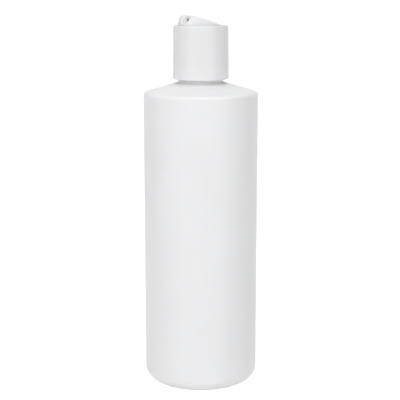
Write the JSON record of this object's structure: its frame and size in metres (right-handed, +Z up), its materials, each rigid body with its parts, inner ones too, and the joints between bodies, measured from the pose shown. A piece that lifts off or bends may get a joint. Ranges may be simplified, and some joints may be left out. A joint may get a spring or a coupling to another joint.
{
  "type": "disc-top bottle",
  "caption": "White plastic cylinder bottle with a threaded neck and a screw cap whose round disc tips open to show a pouring spout.",
  "frame": {"origin": "centre of the base, on the surface that the bottle stands on", "axes": "+Z up along the bottle's axis, the spout faces -Y, the disc's hinge lies along X"},
  "size_m": [0.065, 0.065, 0.2111],
  "materials": {
    "bottle_plastic": "satin, blow moulded",
    "cap_plastic": "satin, injection moulded",
    "disc_plastic": "satin, injection moulded"
  },
  "bodies": {
    "bottle": {"bottle": "bottle_plastic"},
    "cap": {"cap_body": "cap_plastic"},
    "disc": {"disc": "disc_plastic"}
  },
  "joints": [
    {"name": "cap_lift", "type": "slide", "parent": "bottle", "child": "cap", "axis": [0, 0, 1], "range_m": [0, 0.022]},
    {"name": "disc_tilt", "type": "hinge", "parent": "cap", "child": "disc", "pos_m": [0, 0.0033, 0.20359], "axis": [1, 0, 0], "range_deg": [0, 22]}
  ]
}
